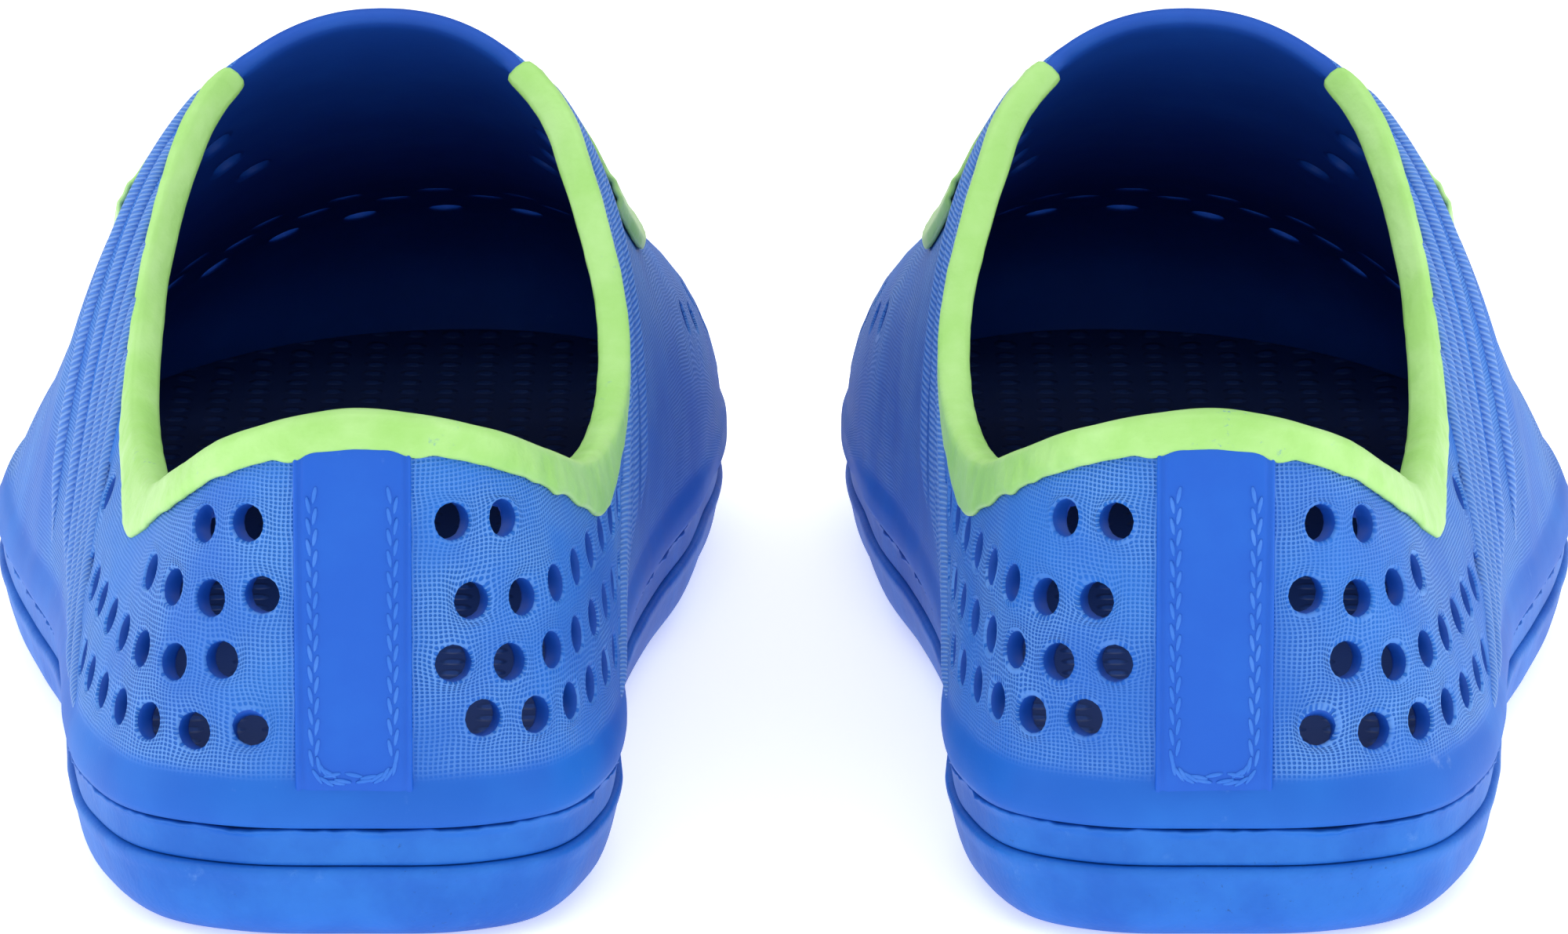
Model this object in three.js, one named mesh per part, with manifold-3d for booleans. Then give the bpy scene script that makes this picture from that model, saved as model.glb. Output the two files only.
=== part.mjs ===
// A pair of moulded EVA garden clogs: closed slip-on shoes with a perforated shell, lime trim at the
// topline and the eyestay, a heel strip, a loose footbed and a two-layer sole.
//
// Millimetres, +Z up, +Y towards the toes, origin on the ground midway between the two clogs. The left clog
// is modelled from its heel centre (x = 0, y = 0, medial side at +x), and the right one is its mirror image.
import * as THREE from "three";
import { LoftGeometry } from "three/addons/geometries/LoftGeometry.js";
import { mergeGeometries, mergeVertices } from "three/addons/utils/BufferGeometryUtils.js";
import Module from "manifold-3d";

// Overall sizes
const soleLength = 282;
const ballWidth = 108.6;
const clogSpacing = 118.6; // between the two heel centres
const throatHeight = 108.4; // ground to the top of the tongue
const heelTopHeight = 75.3; // ground to the topline at the back
const ankleDipHeight = 57; // ground to the lowest point of the topline

// Sole and footbed
const outsoleTop = 11.5;
const midsoleTop = 17;
const footbedThickness = 4;
const soleCornerInset = 9; // how far the sole's lower edge is rounded in
const soleWallInset = 1;
const midsoleInset = 1.8; // the midsole shows as a recessed band
const toeSpring = 5;
const grooveWidth = 3;
const grooveDepth = 2;
const groovePitch = 15;

// Shell
const wall = 3.6;
const upperInset = 0.8;
const archPower = 2.2; // 2 is an ellipse, more is squarer
const bondGap = 0.3; // between pieces that are bonded or rest on each other
const footbedGap = 0.8; // round the footbed, so that it lifts out

// Perforations
const holeRadius = 2.6;
const holeSides = 6;
const holePitch = 9;
const rowHeights = { outer: [31.6, 40.4, 50, 59.6], inner: [32.4, 40.4, 48.8, 60] };
const rowDroop = { outer: 1.5, inner: 0.8 }; // how much lower the holes after the first one lie
const firstHole = { outer: [14.6, 19.4, 13, 15.6], inner: [18.6, 14.2, 17.2, 14.4] }; // from the heel centre
const ribZone = [92, 134]; // how far forward the ribs stand, where there are no holes

// Trim and strip
const trimThickness = 1;
const trimBand = 6; // how far the collar trim runs down the outside
const trimLip = 3; // and down the inside
const stripWidth = 16.5;
const stripThickness = 0.9;
const trimToStrip = 1; // the blue line left between the two
const eyeletRadius = 2;
const eyeletSides = 8;

const blue = new THREE.MeshStandardMaterial({ color: 0x1f66c8, roughness: 0.6, metalness: 0 });
const lime = new THREE.MeshStandardMaterial({ color: 0xa4dd7e, roughness: 0.5, metalness: 0 });

const featherHeight = midsoleTop + bondGap; // where the shell starts
const { lerp, smoothstep } = THREE.MathUtils;
const wasm = await Module();
wasm.setup();

// ---- Guide curves ----

const halfBall = ballWidth / 2;
const shellRise = throatHeight - featherHeight;

// The edge of the sole from the outer ball of the foot, round the heel, to the inner ball: shares of half the
// ball width and of the length.
const sideLine = new THREE.CatmullRomCurve3(
  [
    [-1.155, 0.674], [-1.147, 0.61], [-1.09, 0.532], [-1.0, 0.45], [-0.895, 0.362], [-0.84, 0.27],
    [-0.8, 0.177], [-0.727, 0.096], [-0.571, 0.032], [-0.313, 0.0043], [0, 0], [0.295, 0.0043],
    [0.525, 0.032], [0.645, 0.096], [0.678, 0.17], [0.662, 0.255], [0.665, 0.34], [0.7, 0.433],
    [0.765, 0.525], [0.847, 0.613], [0.89, 0.695],
  ].map(([x, y]) => new THREE.Vector3(x * halfBall, y * soleLength, 0)),
);

// The top of the foot from the toe tip back to the tongue: shares of half the ball width, the length and the
// shell's rise.
const crestLine = new THREE.CatmullRomCurve3(
  [
    [0.092, 0.996, 0], [0.092, 0.997, 0.086], [0.092, 0.986, 0.194], [0.09, 0.948, 0.296],
    [0.083, 0.887, 0.38], [0.074, 0.798, 0.468], [0.059, 0.691, 0.575], [0.037, 0.585, 0.71],
    [0.015, 0.496, 0.86], [0, 0.4255, 1],
  ].map(([x, y, z]) => new THREE.Vector3(x * halfBall, y * soleLength, featherHeight + z * shellRise)),
);

const vampShare = 0.15; // of the side line, at each end, under the vamp
const cornerShare = 0.37; // of the throat's arch, from the foot line to a corner of the tongue

// The share of a curve's length at which its middle control point lies.
function middleShare(curve) {
  const lengths = curve.getLengths(400);
  return lengths[200] / lengths[400];
}

const heelShare = middleShare(sideLine);

// A point on the foot line, a little inside the sole's edge.
function footPoint(share, inset, height = featherHeight) {
  const p = sideLine.getPointAt(share);
  const along = sideLine.getTangentAt(share);
  return new THREE.Vector3(p.x - along.y * inset, p.y + along.x * inset, height);
}

const round = (v) => Math.sign(v) * Math.abs(v) ** (2 / archPower);

// ---- Shell surfaces ----

// The vamp: t runs from the toe's foot line (0) back to the throat (1), a over the foot from the outer side
// (0) to the inner side (1).
function vampPoint(t, a) {
  const back = vampShare * t ** 1.5;
  const outer = footPoint(back, upperInset);
  const inner = footPoint(1 - back, upperInset);
  const middle = outer.clone().add(inner).multiplyScalar(0.5);
  const half = inner.sub(outer).multiplyScalar(0.5);
  const rise = crestLine.getPointAt(t).sub(middle);
  return middle
    .addScaledVector(half, -round(Math.cos(Math.PI * a)))
    .addScaledVector(rise, round(Math.sin(Math.PI * a)));
}

// The topline from the outer throat corner, down to the ankle, round the heel and back up: shares of half the
// ball width and of the length, then the height between the ankle dip (0) and the heel top (1).
const dipToHeel = heelTopHeight - ankleDipHeight;
const dipToThroat = vampPoint(1, cornerShare).z - ankleDipHeight;
const topSide = (points) =>
  points.map(([x, y, z, scale]) => {
    return new THREE.Vector3(x * halfBall, y * soleLength, ankleDipHeight + z * scale);
  });
const topLine = new THREE.CatmullRomCurve3([
  vampPoint(1, cornerShare),
  ...topSide([
    [-0.475, 0.404, 0.86, dipToThroat], [-0.54, 0.379, 0.69, dipToThroat], [-0.59, 0.351, 0.48, dipToThroat],
    [-0.62, 0.316, 0.255, dipToThroat], [-0.625, 0.27, 0.08, dipToThroat], [-0.598, 0.213, 0, dipToThroat],
    [-0.543, 0.149, -0.06, dipToHeel], [-0.451, 0.085, 0.3, dipToHeel], [-0.33, 0.0425, 0.68, dipToHeel],
    [-0.184, 0.0195, 0.9, dipToHeel], [0, 0.0113, 1, dipToHeel], [0.193, 0.0195, 0.93, dipToHeel],
    [0.35, 0.0425, 0.75, dipToHeel], [0.479, 0.0887, 0.42, dipToHeel], [0.571, 0.149, 0.1, dipToHeel],
    [0.635, 0.213, 0.03, dipToThroat], [0.665, 0.27, 0.12, dipToThroat], [0.66, 0.314, 0.29, dipToThroat],
    [0.612, 0.349, 0.5, dipToThroat], [0.55, 0.378, 0.69, dipToThroat], [0.48, 0.404, 0.86, dipToThroat],
  ]),
  vampPoint(1, 1 - cornerShare),
]);
const topShare = middleShare(topLine);

// How much of the throat's arch shape is left: 1 at the throat, 0 from a third of the way to the heel.
const archLeft = (u) => 1 - smoothstep(Math.min(u, 1 - u), 0, 0.3);
const throatMiddle = footPoint(vampShare, upperInset).add(footPoint(1 - vampShare, upperInset)).multiplyScalar(0.5);
const cornerAngle = Math.PI * cornerShare;
const throatLean = crestLine
  .getPointAt(1)
  .sub(throatMiddle)
  .setZ(0)
  .multiplyScalar(round(Math.sin(cornerAngle)));

// The side and heel wall: u runs from the outer throat corner round the heel to the inner one, s from the foot
// line (0) to the topline (1).
function quarterPoint(u, s) {
  const half = u < 0.5 ? 2 * u : 2 * u - 1;
  const share = u < 0.5 ? lerp(vampShare, heelShare, half) : lerp(heelShare, 1 - vampShare, half);
  const foot = footPoint(share, upperInset);
  const top = topLine.getPointAt(u < 0.5 ? lerp(0, topShare, half) : lerp(topShare, 1, half));
  const arch = archLeft(u);
  const inward = lerp(s ** 1.6, (1 - round(Math.cos(cornerAngle * s))) / (1 - round(Math.cos(cornerAngle))), arch);
  const upward = lerp(s, round(Math.sin(cornerAngle * s)) / round(Math.sin(cornerAngle)), arch);
  const lean = throatLean.clone().multiplyScalar(arch);
  const reach = top.clone().sub(foot).setZ(0).sub(lean);
  return foot
    .clone()
    .addScaledVector(reach, inward)
    .addScaledVector(lean.setZ(top.z - foot.z), upward);
}

// A point at a distance outside a surface, measured along its normal.
function offsetPoint(surface, u, v, distance) {
  const step = 0.004;
  const [uMid, vMid] = [u, v].map((x) => THREE.MathUtils.clamp(x, 0.03, 0.97));
  const alongU = surface(uMid + step, vMid).sub(surface(uMid - step, vMid));
  const alongV = surface(uMid, vMid + step).sub(surface(uMid, vMid - step));
  const normal = alongU.cross(alongV).normalize();
  return surface(u, v).addScaledVector(normal, distance);
}

// On the foot line a skin stays level, so that the shell's lower edge is flat. At the opening it may reach
// past the edge by a lift.
function vampSkin(t, a, distance, lift = 0) {
  const point = offsetPoint(vampPoint, t, a, distance);
  if (t === 1) point.add(vampPoint(1, a).sub(vampPoint(0.97, a)).setLength(lift));
  return t === 0 || a === 0 || a === 1 ? point.setZ(featherHeight) : point;
}

// The quarter takes the vamp's own points where the two meet, so that their skins join.
function quarterSkin(u, s, distance, lift = 0) {
  if (u === 0) return vampSkin(1, cornerShare * s, distance, lift);
  if (u === 1) return vampSkin(1, 1 - cornerShare * s, distance, lift);
  const point = offsetPoint(quarterPoint, u, s, distance);
  if (s === 1) point.add(quarterPoint(u, 1).sub(quarterPoint(u, 0.97)).setLength(lift));
  return s === 0 ? point.setZ(featherHeight) : point;
}

// ---- Solids ----

const steps = (count, from = 0, to = 1) => Array.from({ length: count + 1 }, (_, i) => lerp(from, to, i / count));

function solidOf(geometry) {
  const bare = new THREE.BufferGeometry();
  bare.setAttribute("position", geometry.attributes.position);
  const merged = mergeVertices(bare.setIndex(geometry.index), 1e-3);
  return new wasm.Manifold(
    new wasm.Mesh({
      numProp: 3,
      vertProperties: merged.attributes.position.array,
      triVerts: new Uint32Array(merged.index.array),
    }),
  );
}

function geometryOf(solid) {
  const { vertProperties, triVerts } = solid.getMesh();
  const geometry = new THREE.BufferGeometry();
  geometry.setAttribute("position", new THREE.BufferAttribute(vertProperties, 3));
  geometry.setIndex(new THREE.BufferAttribute(triVerts, 1));
  geometry.computeVertexNormals();
  return geometry;
}

const loft = (sections) => new LoftGeometry(sections, { capStart: true, capEnd: true });
const strip = (sections) => new LoftGeometry(sections, { closed: false });

// A closed ring round the whole sole edge, at one height.
function soleRing(inset, height) {
  const sideCount = 38;
  const toeCount = 16;
  const side = steps(sideCount).map((share) => footPoint(share, inset, height));
  const middle = side[0].clone().add(side[sideCount]).multiplyScalar(0.5);
  const half = side[sideCount].clone().sub(side[0]).multiplyScalar(0.5);
  const tip = new THREE.Vector3(crestLine.points[0].x, soleLength - inset, height).sub(middle);
  const toe = steps(toeCount)
    .slice(1, -1)
    .map((a) => {
      return middle
        .clone()
        .addScaledVector(half, round(Math.cos(Math.PI * a)))
        .addScaledVector(tip, round(Math.sin(Math.PI * a)));
    });
  return [...side, ...toe];
}

const lifted = (ring) =>
  ring.map((p) => p.setZ(p.z + toeSpring * smoothstep(p.y, 0.72 * soleLength, soleLength)));

// A cylinder across a wall, for cutting a hole through it.
function holeCutter(point, outward, radius, sides) {
  const cutter = new THREE.CylinderGeometry(radius, radius, 4 * wall, sides);
  cutter.applyQuaternion(new THREE.Quaternion().setFromUnitVectors(new THREE.Vector3(0, 1, 0), outward));
  return solidOf(cutter.translate(point.x, point.y, point.z));
}

const drill = (solid, cutters) => cutters.reduce((left, cutter) => left.subtract(cutter), solid);

function cutterAt(skin, u, v, radius, sides) {
  const inner = skin(u, v, -wall);
  const outer = skin(u, v, 0);
  const outward = outer.clone().sub(inner).normalize();
  return holeCutter(inner.add(outer).multiplyScalar(0.5), outward, radius, sides);
}

// The share of the wall's height at which it reaches a given height above the ground.
function heightShare(u, height) {
  let [low, high] = [0, 1];
  for (let i = 0; i < 20; i++) {
    const middle = (low + high) / 2;
    if (quarterPoint(u, middle).z < height) low = middle;
    else high = middle;
  }
  return low;
}

// Four staggered rows on each side of the heel strip. A row stops at the ribs and wherever the collar trim
// comes down to it.
function sideHoles() {
  const length = sideLine.getLength();
  const cutters = [];
  for (const [name, side] of [["outer", -1], ["inner", 1]]) {
    rowHeights[name].forEach((rowHeight, row) => {
      const first = firstHole[name][row];
      for (let along = first; along < length / 2; along += holePitch) {
        const height = along > first ? rowHeight - rowDroop[name] : rowHeight;
        const share = heelShare + (side * along) / length;
        const span = side < 0 ? heelShare - vampShare : 1 - vampShare - heelShare;
        const u = 0.5 + (0.5 * (share - heelShare)) / span;
        if (u < 0.02 || u > 0.98) continue;
        const forward = footPoint(share, upperInset).y;
        const roof = quarterPoint(u, 1).z - trimBand - bondGap - 1.3 * holeRadius;
        if (forward > ribZone[0] || height > roof) continue;
        cutters.push(cutterAt(quarterSkin, u, heightShare(u, height), holeRadius, holeSides));
      }
    });
  }
  return cutters;
}

// Arcs of holes across the toe box, and one on each side of the foot at the ball.
const toeRows = [
  { t: 0.22, count: 11, from: 0.14 },
  { t: 0.3, count: 10, from: 0.17 },
  { t: 0.38, count: 9, from: 0.2 },
  { t: 0.46, count: 2, from: 0.17 },
  { t: 0.56, count: 2, from: 0.17 },
];

function toeHoles() {
  return toeRows.flatMap(({ t, count, from }) => {
    return steps(count - 1, from, 1 - from).map((a) => cutterAt(vampSkin, t, a, holeRadius, holeSides));
  });
}

// ---- The eyestay: a U-shaped panel on the vamp, open towards the throat ----

const eyestayInner = { across: 0.145, along: 0.3 }; // half widths and reach in the vamp's own a and t
const eyestayOuter = { across: 0.28, along: 0.43 };
const eyestayFlare = 0.02; // how much wider its arms grow in front of the throat
const squareU = (v) => Math.sign(v) * Math.abs(v) ** (2 / 2.8);

function eyestayPoint(turn, width, distance) {
  const flare = eyestayFlare * width * smoothstep(Math.sin(Math.PI * turn), 0, 0.4);
  const across = lerp(eyestayInner.across, eyestayOuter.across, width) + flare;
  const along = lerp(eyestayInner.along, eyestayOuter.along, width);
  const a = 0.5 - across * squareU(Math.cos(Math.PI * turn));
  const t = 1 - along * squareU(Math.sin(Math.PI * turn));
  return vampSkin(t, a, distance);
}

const eyeletTurns = [0.07, 0.15, 0.25, 0.75, 0.85, 0.93];
const eyeletCutters = () => {
  return eyeletTurns.map((turn) => {
    const skin = (u, v, distance) => eyestayPoint(u, v, distance);
    return cutterAt(skin, turn, 0.24, eyeletRadius, eyeletSides);
  });
};

// ---- Pieces of one clog ----

// The shell without its holes. Grown by a margin, it is what a neighbouring piece keeps clear of.
const quarterRows = steps(22);

function shellBody(margin = 0) {
  const wallSteps = 5;
  const tongueSteps = 4;
  const vampRows = steps(9);
  const sideShares = steps(wallSteps, 0, cornerShare);
  const tongueShares = steps(tongueSteps, cornerShare, 1 - cornerShare).slice(1, -1);
  const arch = [...sideShares, ...tongueShares, ...sideShares.map((a) => 1 - a).reverse()];
  const heights = steps(wallSteps);

  const vamp = (out) => vampRows.map((t) => arch.map((a) => vampSkin(t, a, out, margin)));
  const quarter = (out) => quarterRows.map((u) => heights.map((s) => quarterSkin(u, s, out, margin)));
  const reversed = (rows) => rows.map((row) => [...row].reverse());
  const [vampOut, quarterOut] = [vamp(margin), quarter(margin)];
  const [vampIn, quarterIn] = [vamp(-wall - margin), quarter(-wall - margin)];

  // The foot edge runs once round the whole shell, and the top edge round the opening.
  const footEdge = (v, q) => [
    ...v.map((row) => row[0]).reverse(),
    ...v[0].slice(1),
    ...v.map((row) => row.at(-1)).slice(1),
    ...q.map((row) => row[0]).reverse().slice(1),
  ];
  const topEdge = (v, q) => [
    ...q.map((row) => row.at(-1)),
    ...v.at(-1).slice(wallSteps, wallSteps + tongueSteps).reverse(),
  ];
  const rim = (outer, inner) => strip(outer.map((p, i) => [inner[i], p]));
  const skins = [
    strip(reversed(vampOut)),
    strip(vampIn),
    strip(reversed(quarterOut)),
    strip(quarterIn),
    rim(footEdge(vampOut, quarterOut), footEdge(vampIn, quarterIn)),
    rim(topEdge(vampOut, quarterOut), topEdge(vampIn, quarterIn)),
  ];
  return solidOf(mergeGeometries(skins));
}

const upperShell = () => drill(shellBody(), [...sideHoles(), ...toeHoles(), ...eyeletCutters()]);

// A U-shaped cap over the topline, from one throat corner round the heel to the other.
function collarTrim(clear) {
  const outside = bondGap + trimThickness;
  const ends = [0.012, 0.988];
  const sections = quarterRows.map((row) => {
    const u = THREE.MathUtils.clamp(row, ...ends);
    const height = quarterPoint(u, 0).distanceTo(quarterPoint(u, 1));
    const low = 1 - trimBand / height;
    const lip = 1 - trimLip / height;
    const at = (share, out) => quarterSkin(u, share, out, outside);
    return [
      at(low, -wall / 2),
      at(lip, -wall / 2),
      at(lip, -wall - outside),
      at(1, -wall - outside),
      at(1, outside),
      at((low + 1) / 2, outside),
      at(low, outside),
    ];
  });
  return solidOf(loft(sections)).subtract(clear);
}

function eyestay(clear) {
  const sections = steps(18, 0.012, 0.988).map((turn) => {
    const across = steps(4, 0.02, 0.98);
    const under = across.map((w) => eyestayPoint(turn, w, 0));
    const top = across.map((w) => eyestayPoint(turn, w, bondGap + trimThickness)).reverse();
    return [...under, ...top];
  });
  return drill(solidOf(loft(sections)).subtract(clear), eyeletCutters());
}

// The strip up the back of the heel, from above the foot line to the collar trim.
function heelStrip(clear) {
  const half = stripWidth / 2 / sideLine.getLength() / (heelShare - vampShare) / 2;
  const sections = steps(6, 0.5 - half, 0.5 + half).map((u) => {
    const height = quarterPoint(u, 0).distanceTo(quarterPoint(u, 1));
    const rows = steps(6, 0.12, 1 - (trimBand + trimToStrip) / height);
    const inner = rows.map((s) => quarterSkin(u, s, 0));
    const outer = rows.map((s) => quarterSkin(u, s, bondGap + stripThickness)).reverse();
    return [...inner, ...outer];
  });
  return solidOf(loft(sections)).subtract(clear);
}

function midsole() {
  return solidOf(loft([soleRing(midsoleInset, outsoleTop + bondGap), soleRing(midsoleInset, midsoleTop)]));
}

// The tread: straight grooves across the forefoot and the heel.
function treadCutters() {
  const grooves = [
    { from: 0.08, count: 4 },
    { from: 0.5, count: 8 },
  ];
  return grooves.flatMap(({ from, count }) => {
    return steps(count - 1).map((_, i) => {
      const box = new THREE.BoxGeometry(2 * ballWidth, grooveWidth, 2 * (grooveDepth + toeSpring));
      const y = from * soleLength + i * groovePitch;
      const bottom = toeSpring * smoothstep(y, 0.72 * soleLength, soleLength);
      return solidOf(box.translate(0, y, bottom - toeSpring));
    });
  });
}

function outsole() {
  const rings = [
    lifted(soleRing(soleCornerInset, 0)),
    lifted(soleRing(0.5 * soleCornerInset, 1.2)),
    lifted(soleRing(0.28 * soleCornerInset, 3.5)),
    soleRing(soleWallInset, 0.75 * outsoleTop),
    soleRing(soleWallInset, outsoleTop),
  ];
  return drill(solidOf(loft(rings)), treadCutters());
}

function footbed() {
  const inset = upperInset + wall;
  const bottom = midsoleTop + bondGap;
  const plate = solidOf(loft([soleRing(inset, bottom), soleRing(inset, bottom + footbedThickness)]));
  return plate.subtract(shellBody(footbedGap));
}

// ---- The pair ----

// At the throat corners the grown shell folds in a little, so the shell itself is kept clear as well.
const clearOfShell = [bondGap / 2, 0.05, 0].reduce((sum, gap) => sum.add(shellBody(gap)), shellBody(bondGap));
const pieces = [
  { name: "upper_shell", solid: upperShell(), material: blue },
  { name: "collar_trim", solid: collarTrim(clearOfShell), material: lime },
  { name: "eyestay", solid: eyestay(clearOfShell), material: lime },
  { name: "heel_strip", solid: heelStrip(clearOfShell), material: blue },
  { name: "footbed", solid: footbed(), material: blue },
  { name: "midsole", solid: midsole(), material: blue },
  { name: "outsole", solid: outsole(), material: blue },
];

function clog(side, sign) {
  const group = new THREE.Group();
  for (const { name, solid, material } of pieces) {
    const mesh = new THREE.Mesh(geometryOf(solid), material);
    mesh.name = `${side}_${name}`;
    group.add(mesh);
  }
  group.position.set((sign * clogSpacing) / 2, -soleLength / 2, 0);
  group.scale.x = -sign;
  return group;
}

const pair = new THREE.Group();
pair.add(clog("left", -1), clog("right", 1));

export default pair;
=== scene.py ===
"""A pair of moulded EVA garden clogs with a canvas-like skin and lime trim.

Surfaces are laid out in millimetres on one clog, from its heel centre on the ground (x = 0, y = 0, inner side
at +x), and become metres in the shared frame as they are placed. The right clog mirrors the left one.
"""

import bisect
import math

import bmesh
import bpy
from mathutils import Matrix, Vector, noise


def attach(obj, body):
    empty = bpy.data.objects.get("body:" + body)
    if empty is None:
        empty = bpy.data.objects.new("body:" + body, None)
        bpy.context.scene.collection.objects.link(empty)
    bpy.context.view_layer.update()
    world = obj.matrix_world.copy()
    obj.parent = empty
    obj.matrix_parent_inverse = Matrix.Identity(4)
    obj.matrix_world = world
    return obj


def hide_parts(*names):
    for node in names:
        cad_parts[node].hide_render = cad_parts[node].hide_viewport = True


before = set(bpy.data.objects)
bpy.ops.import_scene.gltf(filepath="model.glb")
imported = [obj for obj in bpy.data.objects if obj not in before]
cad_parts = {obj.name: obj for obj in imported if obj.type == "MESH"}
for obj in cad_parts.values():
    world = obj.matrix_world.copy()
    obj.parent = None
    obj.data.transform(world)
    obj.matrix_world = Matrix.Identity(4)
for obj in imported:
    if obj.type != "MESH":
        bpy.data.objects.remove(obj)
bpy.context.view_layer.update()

# Overall sizes, in millimetres
SOLE_LENGTH = 282
HALF_BALL = 54.3
CLOG_SPACING = 118.6
THROAT_HEIGHT = 108.4
HEEL_TOP_HEIGHT = 75.3
ANKLE_DIP_HEIGHT = 57
FEATHER_HEIGHT = 17.3  # where the shell meets the sole
TOE_SPRING = 5
SHELL_RISE = THROAT_HEIGHT - FEATHER_HEIGHT

# Shell
SHELL_WALL = 3.0  # 0.6 mm thinner than the model's, for a slimmer edge round the opening
STRAND_PITCH = 1.1
UPPER_INSET = 0.8
ARCH_POWER = 2.2  # 2 is an ellipse, more is squarer
VAMP_SHARE = 0.15  # of the side line, at each end, under the vamp
CORNER_SHARE = 0.37  # of the throat's arch, from the foot line to a corner of the tongue
WELT_HEIGHT = 6.5
WELT_BULGE = 0.9

# Perforations
HOLE_RADIUS = 2.6
HOLE_LIP = 0.6  # the ring of faces round a hole
HOLE_GROWTH = 1.07  # makes up for what smoothing takes off an eight-sided ring
HOLE_PITCH = 9
ROW_HEIGHTS = {-1: (31.6, 40.4, 50, 59.6), 1: (32.4, 40.4, 48.8, 60)}  # outer and inner side
ROW_DROOP = {-1: 1.5, 1: 0.8}  # how much lower the holes after the first one lie
FIRST_HOLE = {-1: (14.6, 19.4, 13, 15.6), 1: (18.6, 14.2, 17.2, 14.4)}  # from the heel centre
TOE_ROWS = ((0.22, 11, 0.14), (0.3, 10, 0.17), (0.38, 9, 0.2), (0.46, 2, 0.17), (0.56, 2, 0.17))
EYELET_RADIUS = 2
EYELET_TURNS = (0.07, 0.15, 0.25, 0.75, 0.85, 0.93)
EYELET_WIDTH = 0.24

# Trim
TRIM_BAND = 6
TRIM_LIP = 3
TRIM_THICKNESS = 1
BOND_GAP = 0.3
STRIP_HALF = 8.25
RIB_ZONE = (92, 134)
RIB_COUNT = 6
EYESTAY_INNER = (0.145, 0.3)
EYESTAY_OUTER = (0.28, 0.43)
EYESTAY_FLARE = 0.02  # how much wider its arms grow in front of the throat

SIDES = {"left": -1, "right": 1}
CLOTH = "cloth"  # the piece's own map, in millimetres along and up the surface


# ---- Guide curves ----


def mix(low, high, share):
    return low + (high - low) * share


def smooth_step(value, low, high):
    share = min(max((value - low) / (high - low), 0), 1)
    return share * share * (3 - 2 * share)


def rounded(value):
    return math.copysign(abs(value) ** (2 / ARCH_POWER), value)


class Guide:
    """A smooth line through points, read by its share of length."""

    def __init__(self, points, samples=1200):
        self.points = points
        self.trail = [self.at_parameter(i / samples) for i in range(samples + 1)]
        self.lengths = [0.0]
        for before, after in zip(self.trail, self.trail[1:]):
            self.lengths.append(self.lengths[-1] + (after - before).length)
        self.length = self.lengths[-1]
        self.middle_share = self.lengths[samples // 2] / self.length

    def at_parameter(self, share):
        points = self.points
        place = share * (len(points) - 1)
        index = min(int(place), len(points) - 2)
        rest = place - index
        start, end = points[index], points[index + 1]
        before = points[index - 1] if index else 2 * start - end
        after = points[index + 2] if index + 2 < len(points) else 2 * end - start
        first, span, last = ((b - a).length ** 0.5 for a, b in ((before, start), (start, end), (end, after)))
        pull_in = ((start - before) / first - (end - before) / (first + span) + (end - start) / span) * span
        pull_out = ((end - start) / span - (after - start) / (span + last) + (after - end) / last) * span
        bend = -3 * start + 3 * end - 2 * pull_in - pull_out
        twist = 2 * start - 2 * end + pull_in + pull_out
        return start + pull_in * rest + bend * rest**2 + twist * rest**3

    def at(self, share):
        reach = min(max(share, 0), 1) * self.length
        index = min(max(bisect.bisect_right(self.lengths, reach) - 1, 0), len(self.trail) - 2)
        step = self.lengths[index + 1] - self.lengths[index]
        return self.trail[index].lerp(self.trail[index + 1], (reach - self.lengths[index]) / step)

    def along(self, share):
        return (self.at(share + 0.001) - self.at(share - 0.001)).normalized()


def flat_points(pairs):
    return [Vector((x * HALF_BALL, y * SOLE_LENGTH, 0)) for x, y in pairs]


# The edge of the sole from the outer ball of the foot, round the heel, to the inner ball.
side_line = Guide(flat_points((
    (-1.155, 0.674), (-1.147, 0.61), (-1.09, 0.532), (-1.0, 0.45), (-0.895, 0.362), (-0.84, 0.27),
    (-0.8, 0.177), (-0.727, 0.096), (-0.571, 0.032), (-0.313, 0.0043), (0, 0), (0.295, 0.0043),
    (0.525, 0.032), (0.645, 0.096), (0.678, 0.17), (0.662, 0.255), (0.665, 0.34), (0.7, 0.433),
    (0.765, 0.525), (0.847, 0.613), (0.89, 0.695),
)))

# The top of the foot from the toe tip back to the tongue.
crest_line = Guide([
    Vector((x * HALF_BALL, y * SOLE_LENGTH, FEATHER_HEIGHT + z * SHELL_RISE))
    for x, y, z in (
        (0.092, 0.996, 0), (0.092, 0.997, 0.086), (0.092, 0.986, 0.194), (0.09, 0.948, 0.296),
        (0.083, 0.887, 0.38), (0.074, 0.798, 0.468), (0.059, 0.691, 0.575), (0.037, 0.585, 0.71),
        (0.015, 0.496, 0.86), (0, 0.4255, 1),
    )
])

HEEL_SHARE = side_line.middle_share


def foot_point(share, inset, height=FEATHER_HEIGHT):
    point = side_line.at(share)
    along = side_line.along(share)
    return Vector((point.x - along.y * inset, point.y + along.x * inset, height))


def vamp_point(t, a):
    """On the vamp: t runs from the toe (0) back to the throat (1), a across it from the outer side (0)."""
    back = VAMP_SHARE * t**1.5
    outer = foot_point(back, UPPER_INSET)
    inner = foot_point(1 - back, UPPER_INSET)
    middle = (outer + inner) / 2
    rise = crest_line.at(t) - middle
    return middle - (inner - middle) * rounded(math.cos(math.pi * a)) + rise * rounded(math.sin(math.pi * a))


CORNER = vamp_point(1, CORNER_SHARE)
OTHER_CORNER = vamp_point(1, 1 - CORNER_SHARE)
DIP_TO_HEEL = HEEL_TOP_HEIGHT - ANKLE_DIP_HEIGHT
DIP_TO_THROAT = CORNER.z - ANKLE_DIP_HEIGHT


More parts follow.
